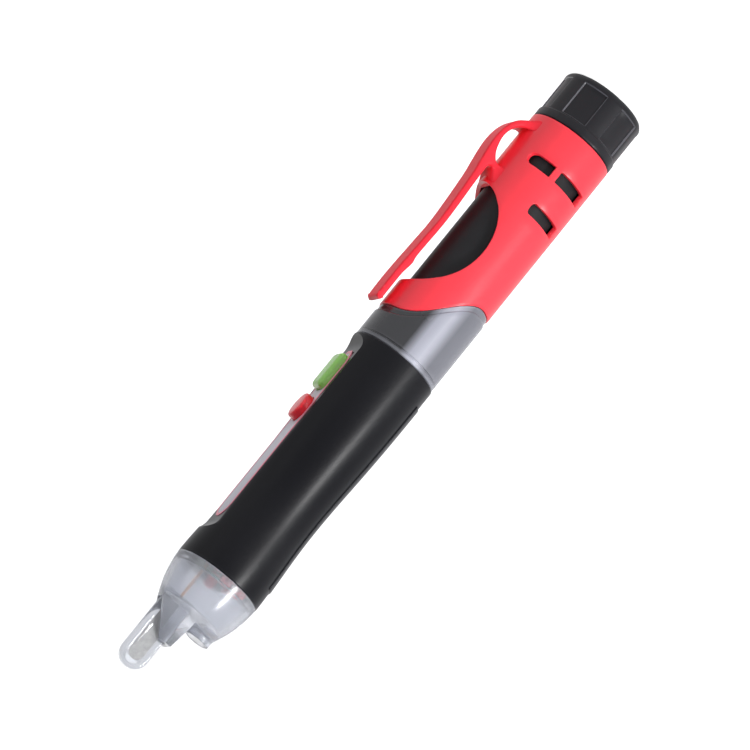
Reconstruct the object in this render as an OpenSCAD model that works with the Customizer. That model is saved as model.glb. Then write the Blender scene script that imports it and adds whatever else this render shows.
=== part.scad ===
// Pocket voltage tester: a pen of moulded shells around two AAA cells.
// Z runs along the pen from the flat end of the cap to the probe tip, and the buttons face -Y.

/* [Body] */
// Outer diameter of the sleeve and of the light ring
sleeve_d = 20.1; // [19:0.1:26]
// Wall of the sleeve and of the light ring
sleeve_wall = 1.55; // [1.2:0.05:2.2]
// Outer diameter of the grip at each end
grip_d = 20.5; // [20:0.1:26]
// How much slimmer the grip is at its waist
waist_drop = 1.6; // [0.4:0.1:2]
// Length of the grip
grip_len = 59.9; // [54:0.1:80]
// Wall of the grip
grip_wall = 1.2; // [1:0.1:2]
// Length of the sleeve along its front
sleeve_len = 53.1; // [48:0.1:66]
// Length of the light ring along its front
ring_len = 8.2; // [6:0.1:14]
// How far the sleeve's front edge drops from front to back
sweep_drop = 11.5; // [4:0.1:14]

/* [Nose] */
// Length of the nose cone
nose_len = 17.6; // [16:0.1:22]
// Wall of the nose cone
nose_wall = 1.3; // [1:0.1:2]
// How far the probe blade stands out of the nose cone
blade_out = 8.8; // [5:0.1:14]
// Width of the probe blade
blade_w = 6.6; // [5:0.1:7]
// Thickness of the probe blade
blade_t = 2.6; // [2:0.1:3.2]
// Width of the sensor plate inside the blade
sensor_w = 3.6; // [2.4:0.1:4.4]
// Outer diameter of the lamp tube
lamp_tube_d = 5.9; // [5.7:0.1:6.5]
// Diameter of the lamp's light-emitting diode
lamp_led_d = 4.6; // [3:0.1:4.8]

/* [Front] */
// How far the front flat lies inside the grip's round
flat_drop = 1.6; // [1.2:0.1:2]
// Thickness of the front panel
panel_t = 0.6; // [0.4:0.1:1]
// Width of the front panel
panel_w = 7.6; // [7.4:0.1:9]
// Length of the front panel
panel_len = 45.4; // [40:0.1:50]
// Diameter of the round button
red_d = 6.3; // [5:0.1:7]
// Length of the long button
green_len = 9.4; // [8:0.1:12]
// Width of the long button
green_w = 5.6; // [5:0.1:6.4]
// How far the buttons stand above the panel
button_rise = 1.85; // [1.2:0.05:3]
// How far a button travels
button_travel = 0.4; // [0.2:0.05:0.5]

/* [Clip] */
// Width of the pocket clip
clip_w = 7.6; // [5:0.1:9]
// Length of the clip's arm from its root to its tip
arm_len = 36.8; // [30:0.1:40]
// Thickness of the clip's arm
arm_t = 1.6; // [1.2:0.1:2.2]
// Height of the lanyard eye above the sleeve
eye_h = 2.95; // [2:0.05:3.2]
// Length of the lanyard eye
eye_len = 10.1; // [6:0.1:10.3]

/* [Cap] */
// Length of the end cap
cap_len = 12.4; // [11:0.1:16]
// Outer diameter of the end cap
cap_d = 19.7; // [19:0.1:24]
// Thickness of the cap's closed end
cap_floor = 2.2; // [1.6:0.1:3]
// Depth of the finger recesses in the cap
recess_depth = 0.4; // [0.2:0.05:0.6]

/* [Power] */
// Diameter of an AAA cell
cell_d = 10.5; // [10:0.1:10.5]
// Length of an AAA cell with its button
cell_len = 44.5; // [44:0.1:54]
// Diameter of the battery tube's bore
cell_bore = 11.2; // [11:0.1:11.4]
// Thickness of the circuit board
board_t = 1; // [0.8:0.1:1.2]

/* [Fits] */
// Side clearance between pieces that do not move
gap = 0.1; // [0.05:0.05:0.15]
// Side clearance between a button and its hole
button_gap = 0.15; // [0.1:0.05:0.2]
// Running clearance at the clip's root
root_gap = 0.08; // [0.05:0.01:0.1]

/* [Hidden] */
$fn = 64;

far = 60;
sleeve_r = sleeve_d / 2;
grip_r = grip_d / 2;
cap_r = cap_d / 2;
tube_r = sleeve_r - sleeve_wall - gap;
bore_r = cell_bore / 2;
ring_z = cap_len + sleeve_len;
grip_z = ring_z + ring_len;
nose_z = grip_z + grip_len;
tongue_z = nose_z + nose_len;
tip_z = tongue_z + blade_out;
sweep_mid = ring_z - sweep_drop / 2;

// Depths below the front flat, from the outside in
flat_y = -(grip_r - flat_drop);
seat_y = flat_y + panel_t - gap;
cavity_y = seat_y + grip_wall;
board_y = cavity_y + gap;
carrier_y = board_y + board_t;
cavity_r = grip_r - waist_drop / 2 - grip_wall - 0.05;
carrier_r = cavity_r - gap;
socket_r = grip_r - 1.25;
socket_z = nose_z - 3.6;

// Battery stack from the cap's floor to the bulkhead
contact_t = 0.3;
spring_wire = 0.6;
spring_len = 4.1;
cell_nub = 0.8;
contact_z = cap_floor + gap;
spring_z = contact_z + contact_t + gap / 2;
lower_z = spring_z + spring_len + gap;
upper_z = lower_z + cell_len + gap;
positive_z = upper_z + cell_len + gap;
bulkhead_z = positive_z + contact_t + gap;
tube_z = cap_len - 7;
tube_spigot = 4.3;
carrier_z = grip_z + tube_spigot + gap;
strip_y = bore_r + 0.15;
strip_w = 3;

// Cap thread room and its finger recesses
cap_bore_r = tube_r + 0.7;
cap_round = 1.3;
recess_angle = 35;
recess_z = 1.8;
recess_gap = 0.4;
cap_band = 2.2;
seal_r = 0.25;

// Side slots of the sleeve, as angles from the front towards each side
slot_w = 2.8;
slot_low_z = cap_len + 8.4;
slot_high_z = cap_len + 17.4;
window_low_z = cap_len + 18.9;
window_high_z = cap_len + 46.5;
window_depth = 8.05;

// Clip root and arm, with the axis of its flexing root
root_z = cap_len + 16.6;
root_y = -(sleeve_r + 2.7);
root_r = 0.85;
eye_z = cap_len + 4.6;

// Places of the two buttons and of the front panel
green_z = grip_z + 10.2;
red_z = grip_z + 20.2;
panel_z = grip_z + 4.1;
button_top = flat_y - button_rise;
flange_t = 0.4;
flange_out = 0.5;
dome_h = 0.35;

// Nose details
blade_y = -3.8;
lamp_y = 4.5;
shoulder_z = tongue_z - 6.6;
lamp_front_z = tongue_z - 5.1;
led_flange_z = nose_z + 1.3;
disc_z = socket_z + gap;
disc_t = 1;
indicator_r = 1.3;
indicator_ring_r = socket_r - nose_wall - gap - indicator_r - 0.35;
cavity_end_z = tongue_z - 8.6;
blade_low_z = cavity_end_z - 1.6;
lamp_wall = 0.6;
lamp_bore_r = lamp_tube_d / 2 - lamp_wall;
lens_t = 1.5;

// Back plate, circuit board and buzzer
back_z = grip_z + 4.8;
back_len = 50.2;
back_angle = 32;
back_seat = 0.45;
back_proud = 0.25;
board_w = 7.8;
buzzer_z = bulkhead_z + 8;

function arc(cx, cy, r, a0, a1, n = 8) =
    [for (i = [0:n]) [cx + r * cos(a0 + (a1 - a0) * i / n), cy + r * sin(a0 + (a1 - a0) * i / n)]];

// A smooth line through the given points
function spline_at(a, b, c, d, t) =
    0.5 * (2 * b + (c - a) * t + (2 * a - 5 * b + 4 * c - d) * t * t + (3 * b - a - 3 * c + d) * t * t * t);

function smooth(p, n = 4) = [
    for (i = [0:len(p) - 2], k = [0:n - 1])
        spline_at(p[max(i - 1, 0)], p[i], p[i + 1], p[min(i + 2, len(p) - 1)], k / n),
    p[len(p) - 1]
];

// The grip narrows to a waist towards the nose
function grip_radius(z) =
    grip_r - waist_drop / 2 * pow(sin(180 * pow((z - grip_z) / grip_len, 1.6)), 2);

// The outline of the nose, as radius and height above the grip
function nose_line(inset) = smooth([
    [grip_r - inset, nose_z],
    [grip_r - 0.35 - inset, nose_z + 3.1],
    [grip_r - 1.15 - inset, nose_z + 6.6],
    [grip_r - 2.5 - inset, nose_z + 10.1],
    [grip_r - 4.4 - inset, tongue_z - 3.7],
    [grip_r - 7.2 - inset, tongue_z]
]);

// The swept line where the sleeve meets the light ring, as seen from the side
function sweep_line(lift) = [
    for (y = [-11.5:0.8:11.7])
        [y * sleeve_r / 10, sweep_mid + lift - sweep_drop / 2 * sin(90 * min(1, max(-1, (y + 0.9) / 8)))]
];

module side_extrude(w) {
    rotate([90, 0, 90])
        linear_extrude(height = w, center = true)
            children();
}

module front_extrude(y_back, h) {
    translate([0, y_back, 0])
        rotate([90, 0, 0])
            linear_extrude(height = h)
                children();
}

module tube(r_out, r_in, z, h) {
    translate([0, 0, z])
        difference() {
            cylinder(r = r_out, h = h);
            translate([0, 0, -1])
                cylinder(r = r_in, h = h + 2);
        }
}

module disc(r, z, h) {
    translate([0, 0, z])
        cylinder(r = r, h = h);
}

// A rectangle with round corners, centred on the line x = 0
module rounded(w, z, h, r) {
    polygon(concat(
        arc(w / 2 - r, z + r, r, -90, 0, 6),
        arc(w / 2 - r, z + h - r, r, 0, 90, 6),
        arc(-w / 2 + r, z + h - r, r, 90, 180, 6),
        arc(-w / 2 + r, z + r, r, 180, 270, 6)
    ));
}

// A band of a ring between two angles counted from the front, on both sides
module side_slot(from, to, z, h) {
    for (side = [0, 1])
        mirror([side, 0, 0])
            rotate([0, 0, 270 - to])
                rotate_extrude(angle = to - from)
                    translate([tube_r + gap / 2, z])
                        square([sleeve_wall + 2, h]);
}

module end_cap() {
    color("#26262b")
        difference() {
            rotate_extrude()
                polygon(concat(
                    [[0, 0]],
                    arc(cap_r - cap_round, cap_round, cap_round, -90, 0, 8),
                    [[cap_r, cap_len - cap_band], [cap_r + 0.15, cap_len - cap_band + 0.3]],
                    [[cap_r + 0.15, cap_len - gap], [0, cap_len - gap]]
                ));
            disc(cap_bore_r, cap_floor, cap_len);
            for (i = [0:5])
                rotate([0, 0, 60 * i - recess_angle / 2])
                    rotate_extrude(angle = recess_angle)
                        translate([cap_r - recess_depth, recess_z])
                            square([2, cap_len - cap_band - recess_gap - recess_z]);
        }
}

module cap_contact() {
    color("#c9c9c4")
        disc(tube_r - 0.4, contact_z, contact_t);
}

// A conical spring: rings of points swept along a helix that narrows upwards
module battery_spring() {
    turns = 4;
    steps = 12 * turns;
    sides = 8;
    wire = spring_wire / 2;
    rise = spring_len - spring_wire;
    function coil_r(t) = 4.2 - 1.4 * t;
    function ring_point(i, k) =
        let (t = i / steps, a = 360 * turns * t, b = 360 * k / sides, r = coil_r(t) + wire * cos(b))
        [r * cos(a), r * sin(a), spring_z + wire + rise * t + wire * sin(b)];
    points = [for (i = [0:steps], k = [0:sides - 1]) ring_point(i, k)];
    walls = [
        for (i = [0:steps - 1], k = [0:sides - 1])
            [i * sides + k, (i + 1) * sides + k, (i + 1) * sides + (k + 1) % sides, i * sides + (k + 1) % sides]
    ];
    ends = [[for (k = [0:sides - 1]) k], [for (k = [sides - 1:-1:0]) steps * sides + k]];
    color("#b8b8b2")
        polyhedron(points, concat(walls, ends));
}

module cap_seal() {
    color("#1b1b1d")
        translate([0, 0, cap_len - 1.2])
            rotate_extrude()
                translate([tube_r + seal_r + 0.02, 0])
                    circle(r = seal_r, $fn = 24);
}

module battery_tube() {
    color("#202024")
        difference() {
            union() {
                disc(tube_r, tube_z, grip_z - gap - tube_z);
                intersection() {
                    union() {
                        disc(min(carrier_r, tube_r), grip_z - 1, tube_spigot + 1);
                        disc(carrier_r, grip_z, tube_spigot);
                    }
                    translate([-far, cavity_y + gap, 0])
                        cube([2 * far, 2 * far, 4 * far]);
                }
            }
            disc(bore_r, tube_z - 1, 2 * cell_len);
            translate([-strip_w / 2 - gap, 0, tube_z - 1])
                cube([strip_w + 2 * gap, strip_y + contact_t + gap, 2 * cell_len]);
        }
}

module cell(z) {
    disc(cell_d / 2, z, cell_len - cell_nub);
    disc(1.9, z + cell_len - cell_nub - 0.01, cell_nub);
}

module battery_lower() {
    color("#3d4a57")
        cell(lower_z);
}

module battery_upper() {
    color("#3d4a57")
        cell(upper_z);
}

module ground_strip() {
    color("#c9c9c4")
        translate([-strip_w / 2, strip_y, contact_z + contact_t + gap])
            cube([strip_w, contact_t, bulkhead_z + 1.5 - contact_z - contact_t - gap]);
}

// The outside of the clip's loop, from the sleeve up and over the lanyard eye to the arm's root
module loop_outline() {
    polygon(concat(
        smooth([
            [-sleeve_r + 0.6, cap_len + 1.9],
            [-sleeve_r - 0.6, cap_len + 2.9],
            [-sleeve_r - 2.8, cap_len + 4.8],
            [-sleeve_r - 4.1, cap_len + 7.4],
            [-sleeve_r - 4.38, cap_len + 10.6],
            [root_y - root_r, root_z]
        ]),
        [
            [root_y + root_r + 0.6, root_z - 0.6],
            [-sleeve_r - 0.3, root_z + 0.6],
            [-sleeve_r + 0.6, root_z + 1.4]
        ]
    ));
}

// The lanyard eye: steep towards the cap and shallow towards the arm
module eye_outline() {
    top_y = -sleeve_r - eye_h;
    polygon(smooth([
        [-sleeve_r + 0.7, eye_z],
        [-sleeve_r - eye_h * 0.4, eye_z + 0.6],
        [top_y + 0.5, eye_z + 2],
        [top_y, eye_z + eye_len * 0.45],
        [top_y + 0.7, eye_z + eye_len * 0.75],
        [-sleeve_r - 0.6, eye_z + eye_len - 0.5],
        [-sleeve_r + 0.7, eye_z + eye_len]
    ]));
}

module clip_sleeve() {
    color("#f0303f")
        difference() {
            union() {
                difference() {
                    intersection() {
                        tube(sleeve_r, sleeve_r - sleeve_wall, cap_len, sleeve_len + 1);
                        side_extrude(2 * far)
                            polygon(concat(sweep_line(0), [[far, cap_len - 1], [-far, cap_len - 1]]));
                    }
                    window_cut();
                }
                difference() {
                    side_extrude(clip_w)
                        loop_outline();
                    disc(sleeve_r - sleeve_wall / 2, cap_len - 1, sleeve_len);
                    difference() {
                        side_extrude(2 * far)
                            eye_outline();
                        disc(sleeve_r, 0, sleeve_len);
                    }
                }
            }
            translate([0, root_y, root_z])
                rotate([0, 90, 0])
                    cylinder(r = root_r + root_gap, h = far, center = true);
            side_slot(44, 81, slot_low_z, slot_w);
            side_slot(91, 143, slot_low_z, slot_w);
            side_slot(87, 143, slot_high_z, slot_w);
        }
}

// A round bite through both sides of the sleeve, under the clip's arm
module window_cut() {
    half = (window_high_z - window_low_z) / 2;
    r = (half * half + window_depth * window_depth) / (2 * window_depth);
    translate([0, -sleeve_r + window_depth - r, window_low_z + half])
        rotate([0, 90, 0])
            cylinder(r = r, h = 2 * far, center = true);
}

// The arm keeps its thickness to its tip, and a low bump near the tip holds what it clips
module clip_arm() {
    tip = root_z + arm_len;
    inner = -sleeve_r - 0.8;
    color("#f0303f")
        union() {
            side_extrude(clip_w)
                polygon(concat(
                    smooth([
                        [root_y - root_r + 0.02, root_z],
                        [inner - arm_t - 0.75, root_z + 4],
                        [inner - arm_t, root_z + 14.5],
                        [inner - arm_t - 0.4, tip - 8.8],
                        [inner - arm_t - 0.4, tip - 4.5],
                        [inner - arm_t + 0.1, tip - 0.8],
                        [inner - arm_t / 2 - 0.1, tip],
                        [inner - 0.5, tip - 0.5],
                        [inner - 0.4, tip - 7],
                        [inner, tip - 10.2],
                        [inner - 0.3, tip - 12.4],
                        [inner - 0.05, tip - 22],
                        [inner - 0.75, root_z + 4]
                    ]),
                    [[root_y + root_r - 0.02, root_z]]
                ));
            translate([0, root_y, root_z])
                rotate([0, 90, 0])
                    cylinder(r = root_r, h = clip_w, center = true);
        }
}

module light_ring() {
    color([0.42, 0.43, 0.5, 0.85])
        intersection() {
            tube(sleeve_r, sleeve_r - sleeve_wall, ring_z - sweep_drop - 1, grip_z - ring_z + sweep_drop + 1);
            side_extrude(2 * far)
                polygon(concat(sweep_line(gap), [[far, grip_z + 1], [-far, grip_z + 1]]));
        }
}

// The round outside of the grip, moved out by a small amount
module grip_round(out, z_from, z_to, r_in) {
    steps = 16;
    rotate_extrude()
        polygon(concat(
            [[r_in, z_from]],
            [for (i = [0:steps]) let (z = z_from + (z_to - z_from) * i / steps) [grip_radius(z) + out, z]],
            [[r_in, z_to]]
        ));
}

// The front flat with a scooped run-out at each end
module flat_cut() {
    scoop = 4;
    low = panel_z - 0.6 + gap;
    high = panel_z + panel_len + 1;
    side_extrude(2 * far)
        polygon(concat(
            arc(flat_y - scoop, low, scoop, -90, 0, 6),
            arc(flat_y - scoop, high, scoop, 0, 90, 6),
            [[flat_y - far, high + scoop], [flat_y - far, low - scoop]]
        ));
}

// Round nose end and blunt tail end
module panel_outline(out) {
    r = panel_w / 2 + out;
    top = panel_z + panel_len - panel_w / 2;
    polygon(concat(
        arc(0, top, r, 0, 180, 16),
        [[-r, panel_z + 3], [-1.4 - out, panel_z - out], [1.4 + out, panel_z - out], [r, panel_z + 3]]
    ));
}

module grip_housing() {
    color("#1c1c21")
        difference() {
            grip_round(0, grip_z, nose_z, 0);
            intersection() {
                disc(cavity_r, grip_z - 1, grip_len + 2);
                translate([-far, cavity_y, 0])
                    cube([2 * far, 2 * far, 4 * far]);
            }
            disc(socket_r, socket_z, 10);
            flat_cut();
            front_extrude(seat_y, 3)
                panel_outline(gap);
            front_extrude(cavity_y + 1, 4) {
                rounded(green_w + 2 * (flange_out + button_gap), green_z - green_len / 2 - flange_out - button_gap,
                    green_len + 2 * (flange_out + button_gap), 2);
            }
            translate([0, cavity_y + 1, red_z])
                rotate([90, 0, 0])
                    cylinder(r = red_d / 2 + flange_out + button_gap, h = 4);
            intersection() {
                grip_round(5, back_z - gap, back_z + back_len + gap, 0);
                rotate([0, 0, 90 - back_angle - 1])
                    rotate_extrude(angle = 2 * back_angle + 2)
                        translate([0, back_z - gap])
                            square([far, back_len + 2 * gap]);
                difference() {
                    disc(far, back_z - gap, back_len + 2 * gap);
                    grip_round(-back_seat, back_z - 1, back_z + back_len + 1, 0);
                }
            }
        }
}

module back_plate() {
    steps = 16;
    color("#2b2b31")
        rotate([0, 0, 90 - back_angle])
            rotate_extrude(angle = 2 * back_angle)
                polygon(concat(
                    [
                        for (i = [0:steps])
                            let (z = back_z + back_len * i / steps)
                            [grip_radius(z) + back_proud, z]
                    ],
                    [
                        for (i = [steps:-1:0])
                            let (z = back_z + back_len * i / steps)
                            [grip_radius(z) - back_seat + gap, z]
                    ]
                ));
}

module front_panel() {
    color("#cfc9d2")
        difference() {
            front_extrude(seat_y, panel_t)
                panel_outline(0);
            front_extrude(seat_y + 1, panel_t + 2)
                rounded(green_w + 2 * button_gap, green_z - green_len / 2 - button_gap,
                    green_len + 2 * button_gap, 1.4 + button_gap);
            translate([0, seat_y + 1, red_z])
                rotate([90, 0, 0])
                    cylinder(r = red_d / 2 + button_gap, h = panel_t + 2);
        }
}

module red_button() {
    base_y = seat_y + flange_t + gap;
    color("#f02030")
        translate([0, base_y, red_z])
            rotate([90, 0, 0]) {
                cylinder(r = red_d / 2 + flange_out, h = flange_t);
                cylinder(r = red_d / 2, h = base_y - button_top);
            }
}

module green_button() {
    base_y = seat_y + flange_t + gap;
    color("#9fd45a") {
        front_extrude(base_y, flange_t)
            rounded(green_w + 2 * flange_out, green_z - green_len / 2 - flange_out, green_len + 2 * flange_out, 1.9);
        front_extrude(base_y, base_y - button_top)
            rounded(green_w, green_z - green_len / 2, green_len, 1.4);
    }
}

module snap_domes() {
    color("#d6d6d0")
        for (z = [green_z, red_z])
            translate([0, board_y, z])
                rotate([90, 0, 0])
                    cylinder(r1 = 2.4, r2 = 1.6, h = dome_h);
}

module main_board() {
    z = carrier_z + gap;
    color("#2f6b46")
        translate([-board_w / 2, board_y, z])
            cube([board_w, board_t, socket_z - z]);
}

// The frame that holds the upper cell, the bulkhead and the circuit board
module circuit_carrier() {
    color("#34343a")
        difference() {
            intersection() {
                disc(carrier_r, carrier_z, socket_z - carrier_z);
                translate([-far, carrier_y, 0])
                    cube([2 * far, 2 * far, 4 * far]);
            }
            disc(bore_r, carrier_z - 1, bulkhead_z - carrier_z + 1);
            translate([-strip_w / 2 - gap, 0, carrier_z - 1])
                cube([strip_w + 2 * gap, strip_y + contact_t + gap, bulkhead_z + 2.5 - carrier_z]);
            translate([-5.4, -far, bulkhead_z + 1.5])
                cube([10.8, far + 4, socket_z - bulkhead_z]);
        }
}

module positive_contact() {
    color("#c9c9c4")
        disc(bore_r - gap, positive_z, contact_t);
}

module buzzer() {
    color("#18181a")
        translate([0, carrier_y + 3.6, buzzer_z])
            rotate([90, 0, 0])
                difference() {
                    cylinder(d = 9, h = 3.6);
                    translate([0, 0, -1])
                        cylinder(d = 1.6, h = 2);
                }
}

module control_chip() {
    color("#121214")
        for (i = [0:2])
            translate([-2, carrier_y, buzzer_z + 7 + 4.2 * i])
                cube([4, 1.2, 3]);
}

module led_board() {
    color("#2f6b46")
        difference() {
            disc(socket_r - gap, disc_z, disc_t);
            disc_slot();
        }
}

module disc_slot() {
    translate([-1.4, blade_y - 1, disc_z - 1])
        cube([2.8, 2, disc_t + 2]);
}

module indicator_leds() {
    color("#e01828")
        for (side = [-1, 1], turn = [3, 46])
            translate([side * indicator_ring_r * cos(turn), indicator_ring_r * sin(turn), disc_z + disc_t]) {
                cylinder(r = indicator_r, h = 2.4);
                translate([0, 0, 2.4])
                    sphere(r = indicator_r, $fn = 32);
            }
}

module lamp_led() {
    r = lamp_led_d / 2;
    body_top = led_flange_z + 6.2;
    color([0.85, 0.88, 0.9, 0.8])
        translate([0, lamp_y, 0]) {
            disc(r + 0.35, led_flange_z, 0.9);
            disc(r, led_flange_z, body_top - led_flange_z);
            translate([0, 0, body_top])
                sphere(r = r, $fn = 48);
            for (side = [-1, 1])
                translate([side * 1.27 - 0.25, -0.25, disc_z + disc_t])
                    cube([0.5, 0.5, led_flange_z - disc_z - disc_t + 0.2]);
        }
}

module lamp_lens() {
    color([0.9, 0.93, 0.95, 0.5])
        translate([0, lamp_y, 0])
            disc(lamp_bore_r - gap / 2, lamp_front_z - lens_t, lens_t - gap);
}

// The blade as seen from the side: a long plate with a half-round tip
module blade_outline(w, low, high) {
    polygon(concat(
        [[blade_y + w / 2 + 0.05, low], [blade_y + w / 2, high - w / 2]],
        arc(blade_y, high - w / 2, w / 2, 0, 180, 16),
        [[blade_y - w / 2 - 0.15, low]]
    ));
}

module sensor_plate() {
    color("#b9b3a8")
        side_extrude(0.5)
            blade_outline(sensor_w, shoulder_z - 3, tip_z - 2.1);
}

module sensor_lead() {
    color("#c98a4a")
        translate([0, blade_y, disc_z + disc_t])
            cylinder(r = 0.3, h = shoulder_z - 3 - gap - disc_z - disc_t);
}

module probe_blade() {
    color([0.86, 0.88, 0.93, 0.5])
        difference() {
            side_extrude(blade_t)
                blade_outline(blade_w, blade_low_z, tip_z);
            side_extrude(0.5 + 2 * gap)
                blade_outline(sensor_w + 2 * gap, blade_low_z - 4, tip_z - 2.1 + gap);
        }
}

module nose_cone() {
    color([0.8, 0.82, 0.88, 0.6])
        difference() {
            union() {
                nose_shell();
                translate([0, lamp_y, 0])
                    disc(lamp_tube_d / 2, cavity_end_z - 0.5, lamp_front_z - cavity_end_z + 0.5);
                tube(socket_r - gap, socket_r - nose_wall - gap, disc_z + disc_t + 1.2, 3.6 - disc_t);
            }
            translate([0, lamp_y, 0])
                disc(lamp_bore_r, nose_z + 1, far);
            side_extrude(blade_t + 2 * gap)
                blade_outline(blade_w + 2 * gap, nose_z + 2, tip_z + 4);
        }
}

// The domed cone, cut on a slant in front and stepped down behind, and hollow from below
module nose_shell() {
    slant = 0.68;
    edge_y = -2.5;
    difference() {
        rotate_extrude()
            polygon(concat([[0, nose_z]], nose_line(0), [[0, tongue_z]]));
        side_extrude(2 * far)
            polygon([
                [edge_y, tongue_z - 0.1],
                [edge_y - slant * 14, tongue_z - 14.1],
                [-far, tongue_z - 14.1],
                [-far, tongue_z + 5],
                [edge_y, tongue_z + 5]
            ]);
        translate([-far, 0.6, shoulder_z])
            cube([2 * far, far, far]);
        intersection() {
            rotate_extrude()
                polygon(concat([[0, nose_z - 0.1]], [[grip_r - nose_wall, nose_z - 0.1]], nose_line(nose_wall),
                    [[0, tongue_z]]));
            disc(far, nose_z - 1, cavity_end_z - nose_z + 1);
        }
    }
}

end_cap();
cap_contact();
battery_spring();
cap_seal();
battery_tube();
battery_lower();
battery_upper();
ground_strip();
clip_sleeve();
clip_arm();
light_ring();
grip_housing();
back_plate();
front_panel();
red_button();
green_button();
snap_domes();
main_board();
circuit_carrier();
positive_contact();
buzzer();
control_chip();
led_board();
indicator_leds();
lamp_led();
lamp_lens();
sensor_plate();
sensor_lead();
probe_blade();
nose_cone();
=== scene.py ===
import math

import bmesh
import bpy
from mathutils import Matrix, Vector


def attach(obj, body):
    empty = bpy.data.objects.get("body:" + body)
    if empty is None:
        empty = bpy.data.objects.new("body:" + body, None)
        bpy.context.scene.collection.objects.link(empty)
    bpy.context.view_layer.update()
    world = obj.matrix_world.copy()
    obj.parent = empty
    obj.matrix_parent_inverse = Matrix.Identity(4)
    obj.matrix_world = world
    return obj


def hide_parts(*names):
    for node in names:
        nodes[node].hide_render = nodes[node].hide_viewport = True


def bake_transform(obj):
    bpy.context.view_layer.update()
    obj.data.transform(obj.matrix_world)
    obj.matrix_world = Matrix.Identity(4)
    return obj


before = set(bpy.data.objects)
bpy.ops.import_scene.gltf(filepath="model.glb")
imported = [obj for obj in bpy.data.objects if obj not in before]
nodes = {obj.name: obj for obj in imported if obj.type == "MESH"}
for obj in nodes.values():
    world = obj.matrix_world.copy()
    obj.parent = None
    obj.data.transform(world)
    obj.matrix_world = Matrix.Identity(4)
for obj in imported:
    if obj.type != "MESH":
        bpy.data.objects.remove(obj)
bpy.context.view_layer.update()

mm = 0.001
scene = bpy.context.scene


def makeCamera():
    view = {"turnFromFront": 78.4, "elevation": 13.5, "penDirection": 230.97,
            "aimHeight": 78.1, "aimForward": 1.4, "distance": 1.5, "lens": 343}
    turn = math.radians(view["turnFromFront"])
    lift = math.radians(view["elevation"])
    back = Vector((-math.sin(turn) * math.cos(lift), -math.cos(turn) * math.cos(lift),
                   math.sin(lift)))
    plainUp = (Vector((0, 0, 1)) - back * back.z).normalized()
    plainRight = plainUp.cross(back)
    roll = math.radians(view["penDirection"])
    right = plainUp * math.cos(roll) + plainRight * math.sin(roll)
    up = plainUp * math.sin(roll) - plainRight * math.cos(roll)
    aim = Vector((0, 0, view["aimHeight"] * mm)) + plainRight * view["aimForward"] * mm
    data = bpy.data.cameras.new("camera")
    data.lens = view["lens"]
    data.sensor_width = 36
    camera = bpy.data.objects.new("camera", data)
    scene.collection.objects.link(camera)
    turned = Matrix((right, up, back)).transposed().to_4x4()
    camera.matrix_world = Matrix.Translation(aim + back * view["distance"]) @ turned
    scene.camera = camera
    return aim, back


def makeLight(name, place, aim, size, power):
    data = bpy.data.lights.new(name, "AREA")
    data.shape = "RECTANGLE"
    data.size, data.size_y = size
    data.energy = power
    light = bpy.data.objects.new(name, data)
    scene.collection.objects.link(light)
    light.location = place
    light.rotation_euler = (aim - place).to_track_quat("-Z", "Y").to_euler()


def mathNode(tree, operation, first, second):
    node = tree.nodes.new("ShaderNodeMath")
    node.operation = operation
    for i, value in enumerate((first, second)):
        if isinstance(value, (int, float)):
            node.inputs[i].default_value = value
        else:
            tree.links.new(value, node.inputs[i])
    return node.outputs[0]


def makeWorld():
    studio = {"softTint": (0.93, 0.95, 1, 1), "soft": 0.3, "plain": 1, "blend": 0.35}
    world = bpy.data.worlds.new("studio")
    scene.world = world
    world.use_nodes = True
    tree = world.node_tree
    tree.nodes.clear()
    out = tree.nodes.new("ShaderNodeOutputWorld")
    soft = tree.nodes.new("ShaderNodeBackground")
    soft.inputs["Color"].default_value = studio["softTint"]
    soft.inputs["Strength"].default_value = studio["soft"]
    plain = tree.nodes.new("ShaderNodeBackground")
    plain.inputs["Strength"].default_value = studio["plain"]
    rays = tree.nodes.new("ShaderNodeLightPath")
    mix = tree.nodes.new("ShaderNodeMixShader")
    seen = mathNode(tree, "MAXIMUM", rays.outputs["Is Camera Ray"],
                    rays.outputs["Is Transmission Ray"])
    # Reflections see the white backdrop behind the pen and a dim room in front of it
    where = tree.nodes.new("ShaderNodeTexCoord")
    facing = tree.nodes.new("ShaderNodeVectorMath")
    facing.operation = "DOT_PRODUCT"
    facing.inputs[1].default_value = toCamera
    tree.links.new(where.outputs["Generated"], facing.inputs[0])
    behind = tree.nodes.new("ShaderNodeMapRange")
    behind.inputs["From Min"].default_value = studio["blend"]
    behind.inputs["From Max"].default_value = -studio["blend"]
    tree.links.new(facing.outputs["Value"], behind.inputs["Value"])
    mirrored = mathNode(tree, "MULTIPLY", rays.outputs["Is Glossy Ray"], behind.outputs["Result"])
    shown = mathNode(tree, "MAXIMUM", seen, mirrored)
    tree.links.new(shown, mix.inputs["Fac"])
    tree.links.new(soft.outputs[0], mix.inputs[1])
    tree.links.new(plain.outputs[0], mix.inputs[2])
    tree.links.new(mix.outputs[0], out.inputs["Surface"])


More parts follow.
